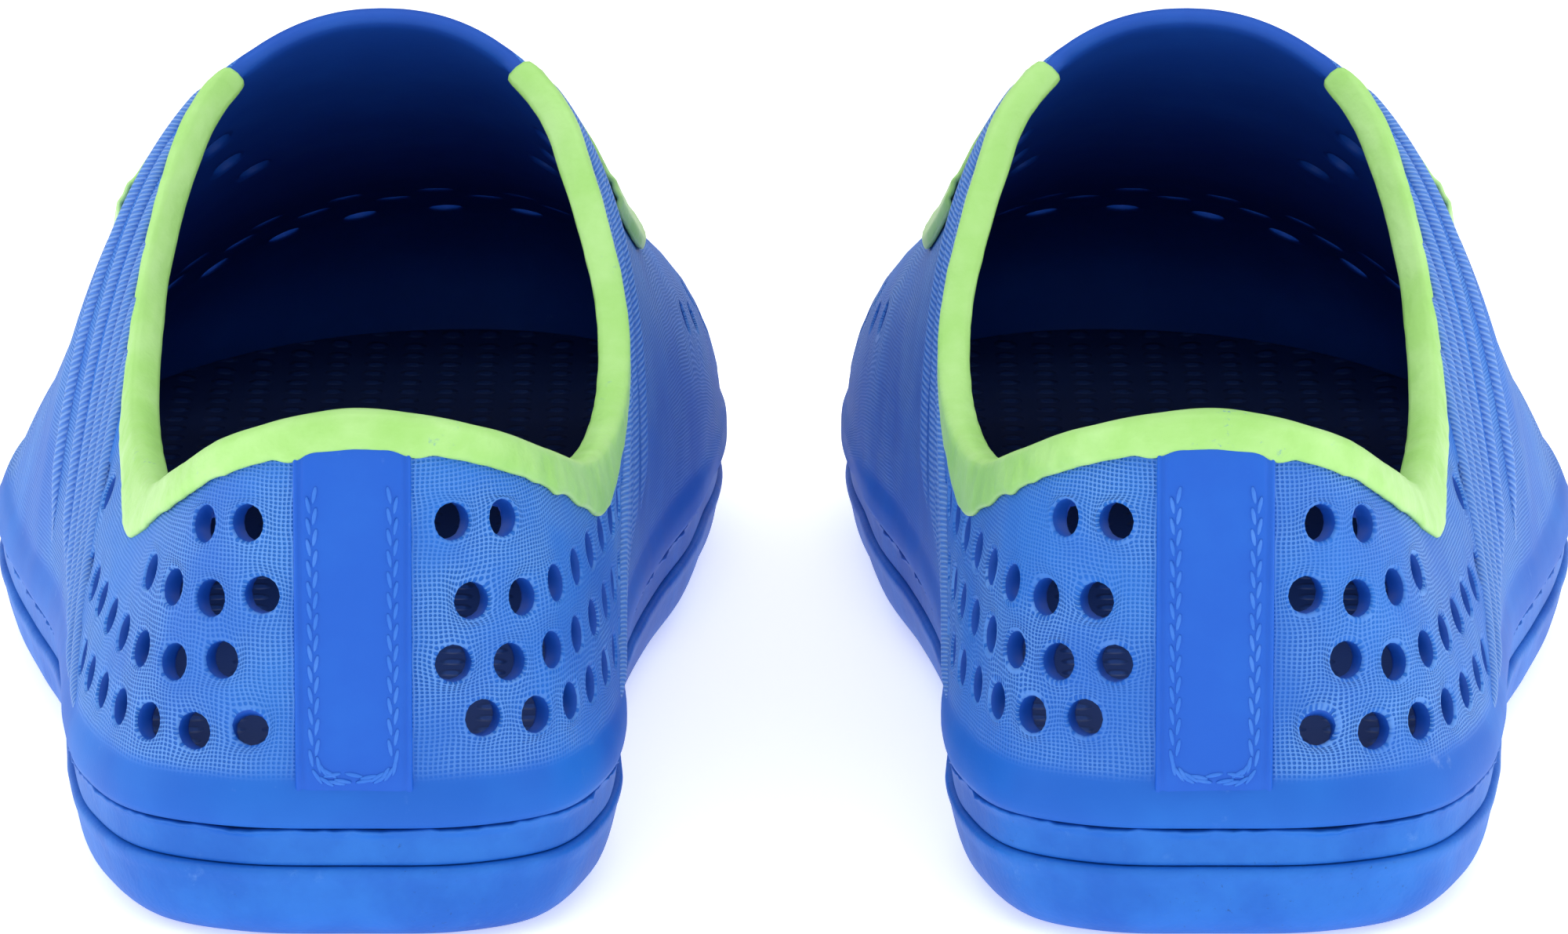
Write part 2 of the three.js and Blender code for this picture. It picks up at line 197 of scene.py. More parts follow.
def top_points(rows, scale):
    return [Vector((x * HALF_BALL, y * SOLE_LENGTH, ANKLE_DIP_HEIGHT + z * scale)) for x, y, z in rows]


# The topline from the outer throat corner, down to the ankle, round the heel and back up.
top_line = Guide(
    [CORNER]
    + top_points((
        (-0.475, 0.404, 0.86), (-0.54, 0.379, 0.69), (-0.59, 0.351, 0.48), (-0.62, 0.316, 0.255),
        (-0.625, 0.27, 0.08), (-0.598, 0.213, 0),
    ), DIP_TO_THROAT)
    + top_points((
        (-0.543, 0.149, -0.06), (-0.451, 0.085, 0.3), (-0.33, 0.0425, 0.68), (-0.184, 0.0195, 0.9),
        (0, 0.0113, 1), (0.193, 0.0195, 0.93), (0.35, 0.0425, 0.75), (0.479, 0.0887, 0.42),
        (0.571, 0.149, 0.1),
    ), DIP_TO_HEEL)
    + top_points((
        (0.635, 0.213, 0.03), (0.665, 0.27, 0.12), (0.66, 0.314, 0.29), (0.612, 0.349, 0.5),
        (0.55, 0.378, 0.69), (0.48, 0.404, 0.86),
    ), DIP_TO_THROAT)
    + [OTHER_CORNER]
)

CORNER_ANGLE = math.pi * CORNER_SHARE
THROAT_MIDDLE = (foot_point(VAMP_SHARE, UPPER_INSET) + foot_point(1 - VAMP_SHARE, UPPER_INSET)) / 2
THROAT_LEAN = (crest_line.at(1) - THROAT_MIDDLE) * rounded(math.sin(CORNER_ANGLE))
THROAT_LEAN.z = 0


def arch_up(s):
    return rounded(math.sin(CORNER_ANGLE * s)) / rounded(math.sin(CORNER_ANGLE))


def arch_in(s):
    return (1 - rounded(math.cos(CORNER_ANGLE * s))) / (1 - rounded(math.cos(CORNER_ANGLE)))


class Column:
    """One upright line of the side wall: u from the outer throat corner (0) to the inner one (1)."""

    def __init__(self, u):
        half = 2 * u if u < 0.5 else 2 * u - 1
        ends = (VAMP_SHARE, HEEL_SHARE) if u < 0.5 else (HEEL_SHARE, 1 - VAMP_SHARE)
        tops = (0, top_line.middle_share) if u < 0.5 else (top_line.middle_share, 1)
        self.foot = foot_point(mix(*ends, half), UPPER_INSET)
        self.top = top_line.at(mix(*tops, half))
        self.arch = 1 - smooth_step(min(u, 1 - u), 0, 0.3)
        self.lean = THROAT_LEAN * self.arch
        self.reach = self.top - self.foot - self.lean
        self.reach.z = 0
        self.rise = self.top.z - self.foot.z
        self.height = (self.top - self.foot).length

    def upward(self, s):
        return mix(s, arch_up(s), self.arch)

    def at(self, s):
        inward = mix(s**1.6 if s > 0 else 0, arch_in(s), self.arch)
        up = self.upward(s)
        point = self.foot + self.reach * inward + self.lean * up
        point.z = self.foot.z + self.rise * up
        return point

    def share_at(self, height):
        low, high = 0.0, 1.0
        for _ in range(18):
            middle = (low + high) / 2
            if self.foot.z + self.rise * self.upward(middle) < height:
                low = middle
            else:
                high = middle
        return low


column_cache = {}


def wall_column(u):
    key = round(u, 6)
    if key not in column_cache:
        column_cache[key] = Column(key)
    return column_cache[key]


def wall_point(u, s):
    return wall_column(u).at(s)


def raised_point(surface, u, v, distance):
    """A point outside a surface, along its normal."""
    step = 0.004
    mid_u = min(max(u, 0.02), 0.98)
    mid_v = min(max(v, 0.02), 0.98)
    along_u = surface(mid_u + step, mid_v) - surface(mid_u - step, mid_v)
    along_v = surface(mid_u, mid_v + step) - surface(mid_u, mid_v - step)
    return surface(u, v) + along_u.cross(along_v).normalized() * distance


# ---- Meshes ----


def place(point):
    """From a clog's own millimetres to metres in the frame, on the left side."""
    return Vector(((point.x - CLOG_SPACING / 2) / 1000, (point.y - SOLE_LENGTH / 2) / 1000, point.z / 1000))


def grid_sheet(columns, rows, position, cloth=None):
    """A grid laid on a surface. position(i, j) gives a point in millimetres; cloth(i, j, column) gives its
    pattern place for a face in that column."""
    sheet = bmesh.new()
    bmesh.ops.create_grid(sheet, x_segments=columns, y_segments=rows, size=1)
    pattern = sheet.loops.layers.uv.new(CLOTH)
    steps = {}
    for vert in sheet.verts:
        i = round((vert.co.x + 1) / 2 * columns)
        j = round((vert.co.y + 1) / 2 * rows)
        steps[vert] = (i, j)
    for face in sheet.faces:
        column = min(steps[vert][0] for vert in face.verts)
        for loop in face.loops:
            i, j = steps[loop.vert]
            loop[pattern].uv = cloth(i, j, column) if cloth else (i, j)
    for vert, (i, j) in steps.items():
        vert.co = position(i, j)
    return sheet, steps


def joined(sheets, weld=0.02):
    """Several sheets as one, welded where they meet."""
    whole = bmesh.new()
    whole.loops.layers.uv.new(CLOTH)
    for sheet in sheets:
        part = bpy.data.meshes.new("part")
        sheet.to_mesh(part)
        sheet.free()
        whole.from_mesh(part)
        bpy.data.meshes.remove(part)
    bmesh.ops.remove_doubles(whole, verts=whole.verts, dist=weld)
    return whole


def smooth_faces(mesh_data):
    for face in mesh_data.faces:
        face.smooth = True


def finish_piece(
    name, shape, materials, body, replaced=(), wall=0, smooth=1, rim=None, inner=0, crease=0
):
    """Makes a piece for each clog from one shape in millimetres, on the left and mirrored on the right."""
    smooth_faces(shape)
    bmesh.ops.recalc_face_normals(shape, faces=shape.faces)
    for side, sign in SIDES.items():
        copy = shape.copy()
        for vert in copy.verts:
            vert.co = place(vert.co)
        if sign > 0:
            everything = copy.verts[:] + copy.edges[:] + copy.faces[:]
            bmesh.ops.mirror(copy, geom=everything, axis="X", merge_dist=-1)
            left_half = [vert for vert in copy.verts if vert.co.x < 0]
            bmesh.ops.delete(copy, geom=left_half, context="VERTS")
            bmesh.ops.recalc_face_normals(copy, faces=copy.faces)
        if wall and faces_inward(copy):
            bmesh.ops.reverse_faces(copy, faces=copy.faces)
        mesh_data = bpy.data.meshes.new(f"{side}_{name}")
        copy.to_mesh(mesh_data)
        copy.free()
        piece = bpy.data.objects.new(f"{side}_{name}", mesh_data)
        bpy.context.collection.objects.link(piece)
        for material in materials:
            mesh_data.materials.append(material)
        if wall:
            add_wall(piece, wall, rim, inner, crease)
        if smooth:
            rounding = piece.modifiers.new("rounding", "SUBSURF")
            rounding.levels = rounding.render_levels = smooth
        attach(piece, f"{side}_{body}")
        if replaced:
            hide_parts(*[f"{side}_{node}" for node in replaced])
    shape.free()


def faces_inward(shape):
    """True for an open wall whose faces look towards the clog's own middle."""
    middle = sum((vert.co for vert in shape.verts), Vector()) / len(shape.verts)
    outward = 0
    for face in shape.faces:
        outward += (face.calc_center_median() - middle).dot(face.normal) * face.calc_area()
    return outward < 0


def add_wall(piece, wall, rim, inner, crease):
    wall_maker = piece.modifiers.new("wall", "SOLIDIFY")
    wall_maker.thickness = wall / 1000
    wall_maker.offset = -1
    wall_maker.use_even_offset = False
    wall_maker.thickness_clamp = 0
    wall_maker.material_offset = inner
    wall_maker.material_offset_rim = inner if rim is None else rim
    wall_maker.edge_crease_rim = crease
    wall_maker.edge_crease_inner = crease
    wall_maker.edge_crease_outer = crease


def punch(sheet, steps, centres, radius, surface):
    """Opens round holes in a grid: the eight vertices round the nearest one move onto a circle, and its four
    faces go after an inset. centres are (i, j) in the grid's steps, with their fractions."""
    at = {step: vert for vert, step in steps.items()}
    inner_faces = []
    for i, j in centres:
        near_i, near_j = round(i), round(j)
        hub = at.get((near_i, near_j))
        if hub is None or not hub.is_valid or len(hub.link_faces) != 4:
            continue
        centre = surface(i, j)
        across = (surface(i + 0.5, j) - surface(i - 0.5, j)).normalized()
        upward = surface(i, j + 0.5) - surface(i, j - 0.5)
        upward = (upward - across * upward.dot(across)).normalized()
        ring = (radius + HOLE_LIP) * HOLE_GROWTH
        for di in (-1, 0, 1):
            for dj in (-1, 0, 1):
                if di == dj == 0:
                    continue
                angle = math.atan2(dj, di)
                spot = centre + across * ring * math.cos(angle) + upward * ring * math.sin(angle)
                at[(near_i + di, near_j + dj)].co = spot
        hub.co = centre
        inner_faces.append((hub, hub.link_faces[:]))
    for hub, faces in inner_faces:
        bmesh.ops.inset_region(sheet, faces=faces, thickness=HOLE_LIP * HOLE_GROWTH, use_even_offset=False)
        for vert in {vert for face in faces for vert in face.verts} - {hub}:
            vert.co = hub.co + (vert.co - hub.co).normalized() * radius * HOLE_GROWTH
    gone = [face for _, faces in inner_faces for face in faces]
    bmesh.ops.delete(sheet, geom=gone, context="FACES")


def eased(levels, between=3):
    """A profile's (inset, height) levels with a smooth line drawn through them."""
    points = [Vector((inset, height, 0)) for inset, height in levels]
    line = Guide(points, samples=between * (len(levels) - 1))
    return [(point.x, point.y) for point in line.trail]


def ring_stack(levels, ring, segments):
    """A closed solid through rings: a capped circle, extruded from level to level."""
    solid = bmesh.new()
    bmesh.ops.create_circle(solid, cap_ends=True, radius=1, segments=segments)
    turn = {}
    for vert in solid.verts:
        turn[vert] = round(math.atan2(vert.co.y, vert.co.x) / math.tau * segments) % segments
    cap = next(iter(solid.faces))
    for vert in cap.verts:
        vert.co = ring(turn[vert] / segments, *levels[0])
    base = cap
    for level in levels[1:]:
        order = [turn[vert] for vert in cap.verts]
        grown = bmesh.ops.extrude_face_region(solid, geom=[cap])["geom"]
        new_cap = next(item for item in grown if isinstance(item, bmesh.types.BMFace))
        if cap is not base:
            solid.faces.remove(cap)
        for vert, place_on_ring in zip(new_cap.verts, order):
            turn[vert] = place_on_ring
            vert.co = ring(place_on_ring / segments, *level)
        cap = new_cap
    return solid


# ---- Materials ----


def linear(code):
    """An sRGB hex colour as linear light."""
    channels = [int(code[i : i + 2], 16) / 255 for i in (0, 2, 4)]
    return (*[c / 12.92 if c <= 0.04045 else ((c + 0.055) / 1.055) ** 2.4 for c in channels], 1)


def node(tree, kind, settings=None, output=0, **inputs):
    """Adds a node with its settings and links, and returns one output. An input goes by its name, or by its
    number after an underscore."""
    made = tree.nodes.new(f"ShaderNode{kind}")
    for key, value in (settings or {}).items():
        setattr(made, key, value)
    for key, value in inputs.items():
        socket = made.inputs[int(key[1:])] if key[0] == "_" else made.inputs[key]
        if isinstance(value, bpy.types.NodeSocket):
            tree.links.new(value, socket)
        else:
            socket.default_value = value
    return made.outputs[output]


COLOURS = {"data_type": "RGBA"}
SMOOTH = {"interpolation_type": "SMOOTHSTEP"}
ADD = {"operation": "ADD"}
SUBTRACT = {"operation": "SUBTRACT"}
MULTIPLY = {"operation": "MULTIPLY"}
MULTIPLY_ADD = {"operation": "MULTIPLY_ADD"}
SINE = {"operation": "SINE"}
COSINE = {"operation": "COSINE"}


def new_material(name, base, roughness, gloss=0.5):
    material = bpy.data.materials.new(name)
    material.use_nodes = True
    tree = material.node_tree
    shader = tree.nodes["Principled BSDF"]
    shader.inputs["Base Color"].default_value = linear(base)
    shader.inputs["Roughness"].default_value = roughness
    shader.inputs["IOR"].default_value = 1.5
    shader.inputs["Specular IOR Level"].default_value = gloss
    return material, tree, shader


def patches(tree, spot, size_mm, low, high, top=1.0, detail=3, rough=0.55):
    """Soft-edged patches about size_mm across: 0 outside them and top inside."""
    cloud = node(tree, "TexNoise", Vector=spot, Scale=1000 / size_mm, Detail=detail, Roughness=rough)
    return node(tree, "MapRange", SMOOTH, Value=cloud, _1=low, _2=high, _4=top)


def lumps(tree, spot, size_mm, depth_mm, detail=3, strength=1.0, over=None):
    """An uneven surface with lumps about size_mm across, laid over a finer one."""
    height = node(tree, "TexNoise", Vector=spot, Scale=1000 / size_mm, Detail=detail, Roughness=0.55)
    finer = {"Normal": over} if over else {}
    return node(tree, "Bump", Strength=strength, Distance=depth_mm / 1000, Height=height, **finer)


WEAVE_PITCH = (0.72, 0.6)  # a canvas thread is about 0.55 mm; drawn a little coarser so that it shows


def weave_height(tree, cloth, pitch):
    """A plain canvas: small square pits between raised threads."""
    waves = []
    for axis in (0, 1):
        along = node(tree, "SeparateXYZ", None, axis, Vector=cloth)
        turns = node(tree, "Math", MULTIPLY, _0=along, _1=math.tau / pitch[axis])
        wave = node(tree, "Math", COSINE, _0=turns)
        waves.append(node(tree, "Math", MULTIPLY_ADD, _0=wave, _1=0.5, _2=0.5))
    pit = node(tree, "Math", MULTIPLY, _0=waves[0], _1=waves[1])
    return node(tree, "Math", SUBTRACT, _0=1.0, _1=pit)


def canvas_foam():
    """Closed-cell EVA foam, injection moulded against a canvas-textured mould: matt, blue all through, with a
    pressed-in weave that fades in patches, paler where the threads stand out, and a smooth welt below it."""
    material, tree, shader = new_material("moulded EVA foam, canvas skin", "1f68c8", 0.6, gloss=0.32)
    spot = node(tree, "TexCoord", None, "Object")
    cloth = node(tree, "UVMap", {"uv_map": CLOTH})
    wander = node(tree, "TexNoise", None, 1, Vector=cloth, Scale=0.09, Detail=2.0)
    bent = node(tree, "VectorMath", MULTIPLY_ADD, _0=wander, _1=(1.6, 1.6, 0), _2=cloth)
    threads = weave_height(tree, bent, WEAVE_PITCH)
    up = node(tree, "SeparateXYZ", None, 1, Vector=cloth)
    above_welt = node(tree, "MapRange", SMOOTH, Value=up, _1=WELT_HEIGHT, _2=WELT_HEIGHT + 2.5)
    strong = patches(tree, spot, 17, 0.35, 0.65, 0.6, detail=2)
    strong = node(tree, "Math", ADD, _0=strong, _1=0.4)
    strong = node(tree, "Math", MULTIPLY, _0=strong, _1=above_welt)
    # The raised threads are tinted a paler blue (6a9fe4): a painted highlight on their crests, fading in
    # patches with the weave.
    raised = node(tree, "MapRange", SMOOTH, Value=threads, _1=0.55, _2=1.0)
    crest_highlight = node(tree, "Math", MULTIPLY, _0=raised, _1=strong)
    crest_highlight = node(tree, "Math", MULTIPLY, _0=crest_highlight, _1=0.62)
    clouds = patches(tree, spot, 30, 0.35, 0.7)
    body = node(tree, "Mix", COLOURS, 2, _0=clouds, _6=linear("0d5bbd"), _7=linear("176ac9"))
    woven = node(tree, "Mix", COLOURS, 2, _0=crest_highlight, _6=body, _7=linear("6a9fe4"))
    welt_only = node(tree, "Math", SUBTRACT, _0=1.0, _1=above_welt)
    scuffed = patches(tree, spot, 9, 0.62, 0.78, 0.3, detail=6, rough=0.7)
    scuffed = node(tree, "Math", MULTIPLY, _0=scuffed, _1=welt_only)
    colour = node(tree, "Mix", COLOURS, 2, _0=scuffed, _6=woven, _7=linear("9dbfe8"))
    relief = node(tree, "Math", MULTIPLY, _0=threads, _1=strong)
    fine = lumps(tree, spot, 0.5, 0.03, detail=2)
    dents = lumps(tree, spot, 14, 0.5, detail=2, strength=0.5, over=fine)
    surface = node(tree, "Bump", Strength=1.0, Distance=0.00024, Height=relief, Normal=dents)
    tree.links.new(colour, shader.inputs["Base Color"])
    tree.links.new(surface, shader.inputs["Normal"])
    return material


def smooth_foam(name, base, light, roughness):
    """The same foam moulded against polished steel: evener and a little glossier, with soft sink marks."""
    material, tree, shader = new_material(name, base, roughness, gloss=0.3)
    spot = node(tree, "TexCoord", None, "Object")
    clouds = patches(tree, spot, 12, 0.4, 0.75, 0.6, detail=4)
    colour = node(tree, "Mix", COLOURS, 2, _0=clouds, _6=linear(base), _7=linear(light))
    rubbed = patches(tree, spot, 3.5, 0.66, 0.8, 0.25, detail=7, rough=0.7)
    colour = node(tree, "Mix", COLOURS, 2, _0=rubbed, _6=colour, _7=linear("7fabe6"))
    fine = lumps(tree, spot, 0.35, 0.02)
    tree.links.new(colour, shader.inputs["Base Color"])
    tree.links.new(lumps(tree, spot, 9, 0.3, detail=2, strength=0.5, over=fine), shader.inputs["Normal"])
    return material


def sole_foam():
    """Denser EVA of the sole, moulded against a spark-eroded steel: fine pebble grain, a few dark ground-in
    specks and paler rubbed patches."""
    material, tree, shader = new_material("moulded EVA sole foam, eroded grain", "2468c4", 0.55, gloss=0.32)
    spot = node(tree, "TexCoord", None, "Object")
    clouds = patches(tree, spot, 16, 0.35, 0.7, detail=4)
    colour = node(tree, "Mix", COLOURS, 2, _0=clouds, _6=linear("105dbc"), _7=linear("206fcb"))
    rubbed = patches(tree, spot, 6, 0.6, 0.8, 0.35, detail=7, rough=0.75)
    colour = node(tree, "Mix", COLOURS, 2, _0=rubbed, _6=colour, _7=linear("6fa0e0"))
    dirt_place = patches(tree, spot, 22, 0.55, 0.7, detail=1)
    specks = patches(tree, spot, 0.9, 0.62, 0.72, detail=5, rough=0.7)
    dirt = node(tree, "Math", MULTIPLY, _0=dirt_place, _1=specks)
    dirt = node(tree, "Math", MULTIPLY, _0=dirt, _1=0.7)
    colour = node(tree, "Mix", COLOURS, 2, _0=dirt, _6=colour, _7=linear("17304f"))
    pebbles = node(tree, "TexVoronoi", {"feature": "SMOOTH_F1"}, "Distance", Vector=spot, Scale=1000 / 0.7)
    grain = node(tree, "Bump", Strength=1.0, Distance=0.00005, Height=pebbles)
    tree.links.new(colour, shader.inputs["Base Color"])
    tree.links.new(lumps(tree, spot, 7, 0.5, detail=4, strength=0.6, over=grain), shader.inputs["Normal"])
    return material


def lime_coating(name, pale):
    """A flexible lime paint brushed over the foam's raised edge: thick, satin, a little lumpy, thinner and
    paler in soft patches, with small blue rubs where it has worn off."""
    material, tree, shader = new_material(name, "a2d77a", 0.42)
    spot = node(tree, "TexCoord", None, "Object")
    thick = patches(tree, spot, 9, 0.25, 0.8, detail=4)
    colour = node(tree, "Mix", COLOURS, 2, _0=thick, _6=linear("98d06c"), _7=linear(pale))
    worn_place = patches(tree, spot, 20, 0.6, 0.72, detail=1)
    rubs = patches(tree, spot, 2.2, 0.6, 0.68, 0.75, detail=6, rough=0.7)
    worn = node(tree, "Math", MULTIPLY, _0=worn_place, _1=rubs)
    colour = node(tree, "Mix", COLOURS, 2, _0=worn, _6=colour, _7=linear("4f86a8"))
    fine = lumps(tree, spot, 0.8, 0.05, detail=4)
    tree.links.new(colour, shader.inputs["Base Color"])
    tree.links.new(lumps(tree, spot, 4.5, 0.45, strength=0.7, over=fine), shader.inputs["Normal"])
    return material


def rope_material(name, base, crest_highlight):
    """Foam ridges moulded to look like cord: slanting strands, paler on their backs."""
    material, tree, shader = new_material(name, base, 0.5)
    cloth = node(tree, "UVMap", {"uv_map": CLOTH})
    across, along = [node(tree, "SeparateXYZ", None, axis, Vector=cloth) for axis in (0, 1)]
    slant = node(tree, "Math", MULTIPLY_ADD, _0=along, _1=0.9, _2=across)
    turns = node(tree, "Math", MULTIPLY, _0=slant, _1=math.tau / STRAND_PITCH)
    wave = node(tree, "Math", SINE, _0=turns)
    strand = node(tree, "Math", MULTIPLY_ADD, _0=wave, _1=0.5, _2=0.5)
    share = node(tree, "Math", MULTIPLY, _0=strand, _1=0.6)
    # The strands' backs are drawn paler, towards the crest colour: a painted highlight on the moulded cord.
    colour = node(tree, "Mix", COLOURS, 2, _0=share, _6=linear(base), _7=linear(crest_highlight))
    surface = node(tree, "Bump", Strength=1.0, Distance=0.00022, Height=strand)
    tree.links.new(colour, shader.inputs["Base Color"])
    tree.links.new(surface, shader.inputs["Normal"])
    return material


def plain_surface(name, base, roughness):
    """Matt paper, faintly clouded, for what the clogs stand on."""
    material, tree, shader = new_material(name, base, roughness)
    spot = node(tree, "TexCoord", None, "Object")
    cloud = node(tree, "TexNoise", Vector=spot, Scale=1000 / 180, Detail=2, Roughness=0.55)
    colour = node(tree, "Mix", COLOURS, 2, _0=cloud, _6=linear(base), _7=linear("ffffff"))
    tree.links.new(colour, shader.inputs["Base Color"])
    shader.inputs["Emission Color"].default_value = (1, 1, 1, 1)
    shader.inputs["Emission Strength"].default_value = 0.5  # a lit table: it stays pale in their shade
    return material


# ---- Upper shell ----

LOWER_LINES = 16  # up to the height where every side hole but the top row lies
UPPER_LINES = 11
LINES = LOWER_LINES + UPPER_LINES
LOWER_TOP = 52.0
TONGUE_LINES = 14
VAMP_ROWS = 50
WALL_COLUMNS = 136
VAMP_COLUMNS = 2 * LINES + TONGUE_LINES


def line_share(column, j):
    """The share of the wall's height at line j: 2 mm apart up to LOWER_TOP, then even to the topline."""
    if j <= 0:
        return 0
    if j <= LOWER_LINES:
        return column.share_at(FEATHER_HEIGHT + (LOWER_TOP - FEATHER_HEIGHT) * j / LOWER_LINES)
    low = column.share_at(LOWER_TOP)
    return mix(low, 1, (j - LOWER_LINES) / UPPER_LINES)


throat_shares = [line_share(wall_column(0), j) for j in range(LINES + 1)]


def arch_share(i):
    """The vamp's a at column i, which may lie between two columns."""
    if i > VAMP_COLUMNS / 2:
        return 1 - arch_share(VAMP_COLUMNS - i)
    if i <= LINES:
        low = min(int(max(i, 0)), LINES - 1)
        return CORNER_SHARE * mix(throat_shares[low], throat_shares[low + 1], i - low)
    return mix(CORNER_SHARE, 1 - CORNER_SHARE, (i - LINES) / TONGUE_LINES)


def welt(height):
    """How far the moulded welt stands out at a height above the foot line."""
    return WELT_BULGE * smooth_step(WELT_HEIGHT - height, 0, 2.5)


def bulged(point, foot_height):
    """Pushes a point out from the clog's middle line by the welt."""
    middle = Vector((0, min(max(point.y, 40), 240), point.z))
    return point + (point - middle).normalized() * welt(foot_height)


def wall_at(i, j):
    column = wall_column(min(max(i / WALL_COLUMNS, 0), 1))
    low = min(int(max(j, 0)), LINES - 1)
    share = mix(line_share(column, low), line_share(column, low + 1), j - low)
    point = column.at(share)
    return bulged(point, point.z - FEATHER_HEIGHT)


def vamp_at(i, j):
    point = vamp_point(min(max(j / VAMP_ROWS, 0), 1), arch_share(i))
    return bulged(point, point.z - FEATHER_HEIGHT)


def arc_table(position, columns, rows, start):
    """Distances along each line of a grid, from a start column, and up each column, in millimetres."""
    spots = [[position(i, j) for j in range(rows + 1)] for i in range(columns + 1)]
    across = [[0.0] * (rows + 1) for _ in range(columns + 1)]
    upward = [[0.0] * (rows + 1) for _ in range(columns + 1)]
    for j in range(rows + 1):
        for i in range(start + 1, columns + 1):
            across[i][j] = across[i - 1][j] + (spots[i][j] - spots[i - 1][j]).length
        for i in range(start - 1, -1, -1):
            across[i][j] = across[i + 1][j] - (spots[i][j] - spots[i + 1][j]).length
    for i in range(columns + 1):
        for j in range(1, rows + 1):
            upward[i][j] = upward[i][j - 1] + (spots[i][j] - spots[i][j - 1]).length
    return spots, across, upward


def side_hole_centres():
    """Where the staggered side rows lie, in the wall grid's steps."""
    centres = []
    for side in (-1, 1):
        span = HEEL_SHARE - VAMP_SHARE if side < 0 else 1 - VAMP_SHARE - HEEL_SHARE
        for row, row_height in enumerate(ROW_HEIGHTS[side]):
            first = along = FIRST_HOLE[side][row]
            while along < side_line.length / 2:
                height = row_height - ROW_DROOP[side] if along > first else row_height
                share = HEEL_SHARE + side * along / side_line.length
                u = 0.5 + 0.5 * (share - HEEL_SHARE) / span
                along += HOLE_PITCH
                if not 0.02 < u < 0.98 or foot_point(share, UPPER_INSET).y > RIB_ZONE[0]:
                    continue
                column = wall_column(u)
                if height > column.top.z - TRIM_BAND - BOND_GAP - 1.3 * HOLE_RADIUS:
                    continue
                centres.append((u * WALL_COLUMNS, line_step(column, height)))
    return centres


def line_step(column, height):
    """The wall line, with its fraction, that lies at a height."""
    if height <= LOWER_TOP:
        return (height - FEATHER_HEIGHT) / (LOWER_TOP - FEATHER_HEIGHT) * LOWER_LINES
    low = column.share_at(LOWER_TOP)
    return LOWER_LINES + (column.share_at(height) - low) / (1 - low) * UPPER_LINES


def column_step(a):
    """The vamp column, with its fraction, at a share of the arch."""
    if a > 0.5:
        return VAMP_COLUMNS - column_step(1 - a)
    if a > CORNER_SHARE:
        return LINES + (a - CORNER_SHARE) / (1 - 2 * CORNER_SHARE) * TONGUE_LINES
    low = max(bisect.bisect_right(throat_shares, a / CORNER_SHARE) - 1, 0)
    low = min(low, LINES - 1)
    return low + (a / CORNER_SHARE - throat_shares[low]) / (throat_shares[low + 1] - throat_shares[low])


def vamp_hole_centres():
    centres = []
    for t, count, first in TOE_ROWS:
        for k in range(count):
            centres.append((column_step(mix(first, 1 - first, k / (count - 1))), t * VAMP_ROWS))
    for turn in EYELET_TURNS:
        t, a = eyestay_place(turn, EYELET_WIDTH)
        centres.append((column_step(a), t * VAMP_ROWS))
    return centres


def eyestay_place(turn, width):
    """The vamp's t and a on the U-shaped eyestay: turn runs along it, width from inner to outer edge."""
    flare = EYESTAY_FLARE * width * smooth_step(math.sin(math.pi * turn), 0, 0.4)
    across = mix(EYESTAY_INNER[0], EYESTAY_OUTER[0], width) + flare
    reach = mix(EYESTAY_INNER[1], EYESTAY_OUTER[1], width)
    bend = 2 / 2.8
    turn_cos = math.cos(math.pi * turn)
    a = 0.5 - across * math.copysign(abs(turn_cos) ** bend, turn_cos)
    return 1 - reach * abs(math.sin(math.pi * turn)) ** bend, a


def upper_shell(skin, inside, cut):
    middle = WALL_COLUMNS // 2
    spots, across, upward = arc_table(wall_at, WALL_COLUMNS, LINES, middle)
    wall, wall_steps = grid_sheet(
        WALL_COLUMNS, LINES, lambda i, j: spots[i][j], lambda i, j, _: (across[i][j], upward[i][j])
    )
    punch(wall, wall_steps, side_hole_centres(), HOLE_RADIUS, wall_at)
    vamp_spots, over, back = arc_table(vamp_at, VAMP_COLUMNS, VAMP_ROWS, 0)

    def vamp_cloth(i, j, column):
        outer = column < VAMP_COLUMNS / 2
        line = min(i if outer else VAMP_COLUMNS - i, LINES)
        end = across[0][line] if outer else across[WALL_COLUMNS][line]
        travelled = back[i][VAMP_ROWS] - back[i][j]
        height = over[i][j] if outer else over[VAMP_COLUMNS][j] - over[i][j]
        return (end - travelled if outer else end + travelled, height)

    vamp, vamp_steps = grid_sheet(VAMP_COLUMNS, VAMP_ROWS, lambda i, j: vamp_spots[i][j], vamp_cloth)
    punch(vamp, vamp_steps, vamp_hole_centres(), HOLE_RADIUS, vamp_at)
    shell = joined([wall, vamp])
    wobble(shell, 0.35, 30)
    # Slot 1, the inside, and slot 2, the hole walls and cut edges, are darker blues than the canvas skin:
    # painted shade.
    finish_piece("canvas_shell", shell, [skin, inside, cut], "clog", ["upper_shell"],
                 wall=SHELL_WALL, inner=1, rim=2, crease=0.25)


def wobble(shape, depth, size):
    """Hand-scale unevenness of moulded foam, in and out, in millimetres."""
    for vert in shape.verts:
        away = noise.noise(vert.co / size) * depth
        away *= smooth_step(vert.co.z, FEATHER_HEIGHT, FEATHER_HEIGHT + 8)
        vert.co += vert.normal * away


# ---- Trim ----

COLLAR_COLUMNS = 240


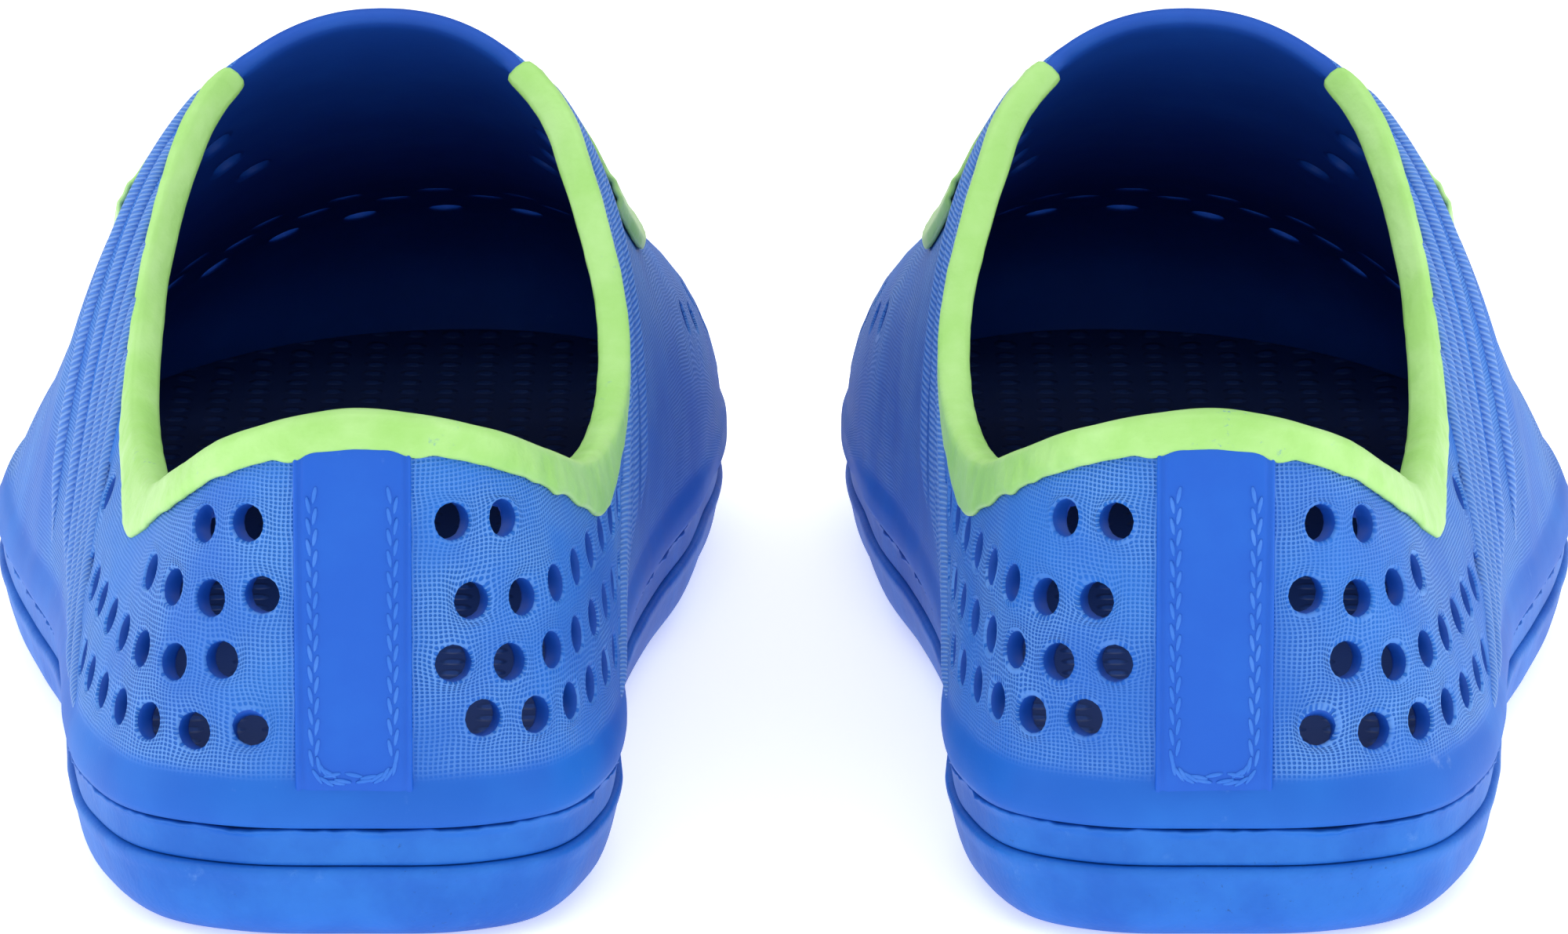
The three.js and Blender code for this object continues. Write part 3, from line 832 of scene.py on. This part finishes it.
def collar_trim(lime):
    """A cap over the topline: down the outside, over the rim and a little down the inside."""
    outer = [(0.0, 0.1), (0.1, 0.75), (0.3, 1.0), (0.55, 1.0), (0.8, 0.95), (1.0, 0.8)]
    inner = [(1.0, 0.8), (0.85, 1.0), (0.45, 1.0), (0.0, 0.5)]
    strip_edge = STRIP_HALF / side_line.length / (HEEL_SHARE - VAMP_SHARE) / 2

    def position(i, j):
        u = mix(0.012, 0.988, i / COLLAR_COLUMNS)
        column = wall_column(u)
        ragged = 0.55 * noise.noise(Vector((u * 60, 3, 0))) + 0.35 * noise.noise(Vector((u * 210, 9, 0)))
        from_heel = abs(u - 0.5)
        shallow = 1.4 * math.exp(-((from_heel / 0.13) ** 2))
        tabs = 0.9 * math.exp(-(((from_heel - strip_edge) / 0.006) ** 2))
        deeper = 2.4 * math.exp(-(((min(abs(u - 0.3), abs(u - 0.71))) / 0.035) ** 2))
        band = TRIM_BAND + ragged + deeper + tabs - shallow
        lip = TRIM_LIP + 0.5 * noise.noise(Vector((u * 90, 17, 0)))
        lump = 0.25 * noise.noise(Vector((u * 130, j * 0.8, 5)))
        thick = TRIM_THICKNESS * mix(1, 0.6, smooth_step(from_heel, 0.1, 0.24)) + lump
        if j < len(outer):
            up, out = outer[j]
            drop, stand = band * (1 - up), BOND_GAP + thick * out
            share = 1 - drop / column.height
            over = 0.75 if j == len(outer) - 1 else 0
        else:
            up, out = inner[j - len(outer)]
            drop, stand = lip * (1 - up), -SHELL_WALL - BOND_GAP - 0.8 * thick * out
            share = 1 - drop / column.height
            over = 0.75 if j == len(outer) else 0
        point = raised_point(wall_point, u, share, stand)
        lift = (wall_point(u, 1) - wall_point(u, 0.97)).normalized()
        return point + lift * (over * (TRIM_THICKNESS + BOND_GAP))

    rows = len(outer) + len(inner) - 1
    cap, _ = grid_sheet(COLLAR_COLUMNS, rows, position)
    finish_piece("lime_collar", cap, [lime], "clog", ["collar_trim"], wall=TRIM_THICKNESS)


def eyestay(lime):
    """The raised U-shaped panel on the instep, with a double textured ridge along its outer edge."""
    columns, rows = 130, 30

    def relief(width):
        edge = smooth_step(min(width, 1 - width), 0, 0.05)
        double = max(math.exp(-(((width - c) / 0.032) ** 2)) for c in (0.84, 0.93))
        single = math.exp(-(((width - 0.07) / 0.035) ** 2))
        return 0.75 * edge + 0.6 * double + 0.45 * single

    def position(i, j):
        turn, width = mix(0.012, 0.988, i / columns), j / rows
        t, a = eyestay_place(turn, width)
        lump = 0.12 * noise.noise(Vector((turn * 60, width * 9, 2)))
        return raised_point(vamp_point, t, a, BOND_GAP + 0.35 + relief(width) + lump)

    panel, steps = grid_sheet(columns, rows, position, lambda i, j, _: (i * 1.6, j * 0.6))
    centres = [(turn_step(turn, columns), EYELET_WIDTH * rows) for turn in EYELET_TURNS]
    punch(panel, steps, centres, EYELET_RADIUS, position)
    finish_piece(
        "lacing_panel", panel, [lime], "clog", ["eyestay"], wall=TRIM_THICKNESS, crease=0.2
    )


def turn_step(turn, columns):
    return (turn - 0.012) / 0.976 * columns


def eyelet_rings(lime):
    """A moulded ring round each eyelet."""
    rings = bmesh.new()
    for turn in EYELET_TURNS:
        t, a = eyestay_place(turn, EYELET_WIDTH)
        centre = raised_point(vamp_point, t, a, BOND_GAP + 1.15)
        outward = (centre - raised_point(vamp_point, t, a, 0)).normalized()
        profile = bmesh.ops.create_circle(rings, radius=0.55, segments=8)["verts"]
        across = Matrix.Rotation(math.pi / 2, 4, "X")
        bmesh.ops.transform(rings, matrix=across, verts=profile)
        bmesh.ops.translate(rings, vec=(EYELET_RADIUS + 0.95, 0, 0), verts=profile)
        edges = list({edge for vert in profile for edge in vert.link_edges})
        bmesh.ops.spin(rings, geom=profile + edges, cent=(0, 0, 0), axis=(0, 0, 1), angle=math.tau, steps=20,
                       use_merge=True)
        fresh = [vert for vert in rings.verts if not vert.tag]
        turned = outward.to_track_quat("Z", "Y").to_matrix().to_4x4()
        bmesh.ops.transform(rings, matrix=Matrix.Translation(centre) @ turned, verts=fresh)
        for vert in fresh:
            vert.tag = True
    finish_piece("eyelet_rings", rings, [lime], "clog", smooth=1)


def heel_strip(foam):
    """The smooth backstay: a raised edge line, a crease inside it, then the flat panel."""
    columns, rows = 44, 60
    half = STRIP_HALF / side_line.length / (HEEL_SHARE - VAMP_SHARE) / 2

    def relief(share):
        from_edge = (1 - abs(2 * share - 1)) * STRIP_HALF
        line = 0.35 * math.exp(-(((from_edge - 0.55) / 0.3) ** 2))
        crease = 0.3 * math.exp(-(((from_edge - 1.2) / 0.28) ** 2))
        return 0.6 * smooth_step(from_edge, 0, 0.45) + line - crease

    def position(i, j):
        share = i / columns
        u = mix(0.5 - half, 0.5 + half, share)
        column = wall_column(u)
        low = column.share_at(FEATHER_HEIGHT + WELT_HEIGHT - 2.2)
        high = 1 - (TRIM_BAND - 2.6) / column.height
        stand = 0.15 + relief(share) * smooth_step(j, 0, 4)
        return raised_point(wall_point, u, mix(low, high, j / rows), stand)

    strip, _ = grid_sheet(columns, rows, position)
    finish_piece("backstay", strip, [foam], "clog", ["heel_strip"], wall=0.9, crease=0)


def heel_stitches(highlit_stitch_foam):
    """Moulded chain stitches up both sides of the strip, joined round the foot of it."""
    stitches = bmesh.new()
    stitches.loops.layers.uv.new(CLOTH)
    reach = side_line.length * (HEEL_SHARE - VAMP_SHARE) * 2
    path = []
    height = 64.5
    while height > 27.5:
        path.append((-5.4, height, 0))
        height -= 2.95
    for turn in range(1, 4):
        angle = turn / 4 * math.pi / 2
        path.append((-5.4 + 3 * (1 - math.cos(angle)), 27.5 - 2.6 * math.sin(angle), -turn / 4 * 90))
    path += [(x, 24.8, 90) for x in (-1.5, 1.5)]
    path += [(-x, z, -lean) for x, z, lean in reversed(path[:-2])]
    for x, z, lean in path:
        for offset, length, thick in ((0.42, 1.75, 0.42), (-0.42, 1.75, 0.42)):
            made = bmesh.ops.create_icosphere(stitches, subdivisions=1, radius=1)["verts"]
            bmesh.ops.scale(stitches, vec=(thick, 0.32, length), verts=made)
            tilt = math.radians(lean + (11 if offset * x < 0 else -11))
            bmesh.ops.rotate(stitches, matrix=Matrix.Rotation(tilt, 3, "Y"), verts=made)
            shift = offset if x < 0 or lean else -offset
            drop = 1.47 if offset < 0 else 0
            turned = math.radians(lean)
            spot_x = x + shift * math.cos(turned) - drop * math.sin(turned)
            spot_z = z - drop * math.cos(turned) - shift * math.sin(turned)
            column = wall_column(0.5 + spot_x / reach)
            base = raised_point(wall_point, 0.5 + spot_x / reach, column.share_at(spot_z), 0.78)
            bmesh.ops.translate(stitches, vec=base, verts=made)
    finish_piece("heel_stitches", stitches, [highlit_stitch_foam], "clog", smooth=1)


def side_ribs(rope):
    """Corded ridges behind the eyestay on both sides, fanning out from the throat down to the welt."""
    sheets = []
    for side in (0, 1):
        for rib in range(RIB_COUNT):
            sheets.append(one_rib(side, rib))
    finish_piece("side_ribs", joined(sheets, 0.0001), [rope], "clog", smooth=1)


def one_rib(side, rib):
    rows, around = 70, 8
    share = rib / (RIB_COUNT - 1)

    def path(s):
        top, foot = mix(0.015, 0.15, share), mix(0.04, 0.31, share)
        u = mix(foot, top, smooth_step(s, -0.25, 1.1))
        return u if side == 0 else 1 - u

    def position(i, j):
        s = mix(0.09, 0.985, j / rows)
        u = path(s)
        turn = i / around * math.tau
        column = wall_column(u)
        high = 1 - (TRIM_BAND - 1) / column.height
        s = min(s, high)
        ahead = wall_point(path(s + 0.01), min(s + 0.01, 1))
        along = (ahead - wall_point(path(s - 0.01), s - 0.01)).normalized()
        outward = (raised_point(wall_point, u, s, 1) - wall_point(u, s)).normalized()
        sideways = along.cross(outward)
        taper = smooth_step(j, 0, 10) * smooth_step(rows - j, -2, 6)
        half, tall = 1.35 * mix(0.45, 1, taper), 1.25 * taper
        return wall_point(u, s) + sideways * half * math.cos(turn) + outward * (tall * math.sin(turn) - 0.1)

    tube, _ = grid_sheet(around, rows, position, lambda i, j, _: (j * 1.3, i * 0.7))
    bmesh.ops.remove_doubles(tube, verts=tube.verts, dist=0.01)
    bmesh.ops.holes_fill(tube, edges=[edge for edge in tube.edges if edge.is_boundary], sides=0)
    return tube


# ---- Sole ----

SIDE_PART = 0.78  # of a ring's turn, along the sides and heel; the rest goes round the toe
TOE_TIP = crest_line.points[0].x


def sole_edge(turn, inset, height):
    """A point on the sole's outline, from the outer ball round the heel to the inner ball and the toe."""
    if turn <= SIDE_PART:
        return foot_point(turn / SIDE_PART, inset, height)
    first, last = foot_point(0, inset, height), foot_point(1, inset, height)
    middle = (first + last) / 2
    tip = Vector((TOE_TIP, SOLE_LENGTH - inset, height)) - middle
    angle = math.pi * (turn - SIDE_PART) / (1 - SIDE_PART)
    return middle + (last - middle) * rounded(math.cos(angle)) + tip * rounded(math.sin(angle))


def sprung(point, share=1.0):
    """Lifts the toe end."""
    point.z += TOE_SPRING * share * smooth_step(point.y, 0.72 * SOLE_LENGTH, SOLE_LENGTH)
    return point


def midsole(foam):
    """The recessed band between shell and outsole, with the uneven parting line of the mould at its top."""
    levels = [(12, 11.65), (4, 11.65), (2.0, 11.7), (1.5, 12.0), (1.35, 13.4), (1.25, 14.6), (1.1, 15.8),
              (0.75, 16.5), (0.45, 16.9), (0.6, 17.15), (4, 17.2), (12, 17.2)]

    def ring(turn, inset, height):
        ragged = noise.noise(Vector((turn * 90, height * 0.3, 4)))
        fine = noise.noise(Vector((turn * 420, height * 0.5, 8)))
        edge = smooth_step(height, 15.5, 16.9)
        lifted = height - edge * (0.1 + 0.35 * ragged + 0.25 * fine) * (inset < 3)
        return sole_edge(turn, inset - edge * (0.35 * ragged + 0.3 * fine), lifted)

    body = ring_stack(eased(levels), ring, 420)
    finish_piece("parting_band", body, [foam], "clog", ["midsole"], smooth=0)


def outsole(foam):
    """A cup with a rounded lower edge and a soft ridge at its top; the tread lugs stand in its hollow."""
    levels = [(15, 2.2), (14.4, 2.1), (14, 0.4), (13.4, 0.05), (9.8, 0), (7.0, 0.35), (4.9, 1.3), (3.1, 3.0),
              (2.0, 5.2), (1.4, 7.6), (1.1, 9.0), (0.7, 10.2), (0.65, 11.0), (1.0, 11.45), (1.8, 11.6),
              (4, 11.6), (14, 11.6)]

    def ring(turn, inset, height):
        soft = 0.25 * noise.noise(Vector((turn * 40, height * 0.1, 11))) * smooth_step(height, 2.5, 8)
        return sprung(sole_edge(turn, inset + soft, max(height, 0)), 1 - smooth_step(height, 3.5, 10))

    body = ring_stack(eased(levels), ring, 400)
    finish_piece("cup_sole", body, [foam], "clog", ["outsole"], smooth=0)


def outline_half(y, side):
    """How far the sole reaches sideways at a place along it."""
    low, high = (0.0, HEEL_SHARE) if side < 0 else (HEEL_SHARE, 1.0)
    if y > 0.67 * SOLE_LENGTH:
        widest = sole_edge(0 if side < 0 else SIDE_PART, 0, 0)
        share = (y - widest.y) / (SOLE_LENGTH - widest.y)
        return widest.x * max(1 - max(share, 0) ** ARCH_POWER, 0) ** (1 / ARCH_POWER)
    for _ in range(16):
        middle = (low + high) / 2
        further = side_line.at(middle).y > y
        if further == (side < 0):
            low = middle
        else:
            high = middle
    return side_line.at(low).x


def tread(foam):
    """Zigzag lugs across the heel and the forefoot."""
    lugs = bmesh.new()
    for first, count, pitch, deep in ((22, 5, 13, 8.5), (112, 10, 14, 9.5)):
        for k in range(count):
            y = first + k * pitch
            left, right = outline_half(y, -1) + 17, outline_half(y, 1) - 17
            if right - left < 16:
                continue
            made = bmesh.ops.create_grid(lugs, x_segments=24, y_segments=3, size=1)["verts"]
            for vert in made:
                x, depth = mix(left, right, (vert.co.x + 1) / 2), vert.co.y * deep / 2
                zigzag = 1.8 * math.asin(math.sin(x * math.tau / 16)) / (math.pi / 2)
                vert.co = sprung(Vector((x, y + depth + zigzag, 2.6)))
    faces = lugs.faces[:]
    grown = bmesh.ops.extrude_face_region(lugs, geom=faces)["geom"]
    moved = [item for item in grown if isinstance(item, bmesh.types.BMVert)]
    bmesh.ops.translate(lugs, vec=(0, 0, -2.5), verts=moved)
    bmesh.ops.recalc_face_normals(lugs, faces=lugs.faces)
    sharp = [edge for edge in lugs.edges if edge.calc_face_angle(0) > 1]
    bmesh.ops.bevel(lugs, geom=sharp, offset=0.5, segments=2, profile=0.5, affect="EDGES", material=-1)
    finish_piece("tread", lugs, [foam], "clog", smooth=0)


def footbed(foam):
    """A loose footbed with a rolled rim and a shallow heel cup."""
    levels = [(15, 20.75), (12, 20.9), (8.5, 21.4), (6.6, 21.6), (5.6, 21.3), (5.3, 20.4), (5.5, 18.6),
              (6.5, 17.5), (14, 17.4)]

    def ring(turn, inset, height):
        return sole_edge(turn, inset + 0.2, height)

    body = ring_stack(eased(levels), ring, 300)
    finish_piece("nubbed_footbed", body, [foam], "clog", ["footbed"], smooth=0)


def massage_foam():
    """The footbed's softer EVA: navy, matt, with rows of small round massage nubs."""
    material, tree, shader = new_material("soft EVA footbed foam, nubbed", "0d2f6c", 0.6)
    spot = node(tree, "TexCoord", None, "Object")
    nubs = weave_height(tree, spot, (0.006, 0.006))
    high = node(tree, "MapRange", SMOOTH, Value=nubs, _1=0.2, _2=0.75)
    # The nub tops are drawn lighter (173f85) than the navy between them: a painted highlight on the raised
    # nubs.
    colour = node(tree, "Mix", COLOURS, 2, _0=high, _6=linear("173f85"), _7=linear("0d2f6c"))
    low = node(tree, "Math", SUBTRACT, _0=1.0, _1=high)
    fine = lumps(tree, spot, 0.6, 0.04)
    surface = node(tree, "Bump", Strength=1.0, Distance=0.0008, Height=low, Normal=fine)
    tree.links.new(colour, shader.inputs["Base Color"])
    tree.links.new(surface, shader.inputs["Normal"])
    return material


# ---- Floor, light and camera ----


def floor_and_backdrop():
    floor = bmesh.new()
    bmesh.ops.create_grid(floor, x_segments=2, y_segments=2, size=4)
    bmesh.ops.translate(floor, vec=(0, 0, -0.0002), verts=floor.verts)
    mesh_data = bpy.data.meshes.new("floor")
    floor.to_mesh(mesh_data)
    floor.free()
    ground = bpy.data.objects.new("floor", mesh_data)
    mesh_data.materials.append(plain_surface("matt white paper", "fdfdfd", 0.9))
    bpy.context.collection.objects.link(ground)


def soft_light(name, spot, aim, size, watts):
    data = bpy.data.lights.new(name, "AREA")
    data.shape = "RECTANGLE"
    data.size, data.size_y = size
    data.energy = watts
    light = bpy.data.objects.new(name, data)
    light.location = spot
    light.rotation_euler = (Vector(aim) - Vector(spot)).to_track_quat("-Z", "Y").to_euler()
    bpy.context.collection.objects.link(light)


def lights():
    world = bpy.data.worlds.new("studio")
    world.use_nodes = True
    world.node_tree.nodes["Background"].inputs["Color"].default_value = (1, 1, 1, 1)
    world.node_tree.nodes["Background"].inputs["Strength"].default_value = 0.6
    bpy.context.scene.world = world
    soft_light("overhead", (0, -0.25, 1.3), (0, 0, 0.03), (1.6, 1.6), 8)
    soft_light("left_side", (-1.2, -0.2, 0.5), (0, 0, 0.05), (0.8, 1.2), 6)
    soft_light("right_side", (1.2, -0.2, 0.5), (0, 0, 0.05), (0.8, 1.2), 6)
    soft_light("front", (0, -1.9, 0.75), (0, -0.1, 0.05), (1.2, 0.7), 4)


def camera():
    data = bpy.data.cameras.new("camera")
    data.lens = 240.1
    data.sensor_width = 36
    made = bpy.data.objects.new("camera", data)
    made.location = (0, -1.526, 0.4247)
    aim = Vector((0, -0.141, 0.0691))
    made.rotation_euler = (aim - made.location).to_track_quat("-Z", "Y").to_euler()
    bpy.context.collection.objects.link(made)
    bpy.context.scene.camera = made
    bpy.context.scene.view_settings.view_transform = "Standard"


def build():
    skin = canvas_foam()
    # The inner skin's darker navy (1145a6, 164fb2) is painted shade for the clog's inside; its smooth finish
    # is the foam's own.
    inside = smooth_foam("moulded EVA foam, inner skin in painted shade", "1145a6", "164fb2", 0.55)
    # The hole walls and cut edges take a darker blue (0e4bae, 1556b8) than the canvas skin: painted shade;
    # their smooth, unwoven finish is real.
    cut = smooth_foam("moulded EVA foam, smooth edge in painted shade", "0e4bae", "1556b8", 0.55)
    strip_foam = smooth_foam("moulded EVA foam, smooth skin", "0a57c2", "1260c8", 0.45)
    lime = lime_coating("brushed lime coating", "abdb88")
    panel_lime = lime_coating("moulded lime panel", "b3de97")
    # The stitches are drawn a paler blue (2a6ccd, 4f88dc) than the shell's foam they are moulded in: a
    # painted highlight.
    highlit_stitch_foam = smooth_foam("moulded EVA stitches with painted highlight", "2a6ccd", "4f88dc", 0.5)
    # The cord ridges are drawn a paler blue (3474cf, with 8ab2ea on the strands) than the shell's foam: a
    # painted highlight.
    rope = rope_material("moulded EVA cord ridges with painted highlight", "3474cf", "8ab2ea")
    sole = sole_foam()
    upper_shell(skin, inside, cut)
    collar_trim(lime)
    eyestay(panel_lime)
    eyelet_rings(panel_lime)
    heel_strip(strip_foam)
    heel_stitches(highlit_stitch_foam)
    side_ribs(rope)
    midsole(sole)
    outsole(sole)
    tread(sole)
    footbed(massage_foam())


camera()
lights()
floor_and_backdrop()
build()
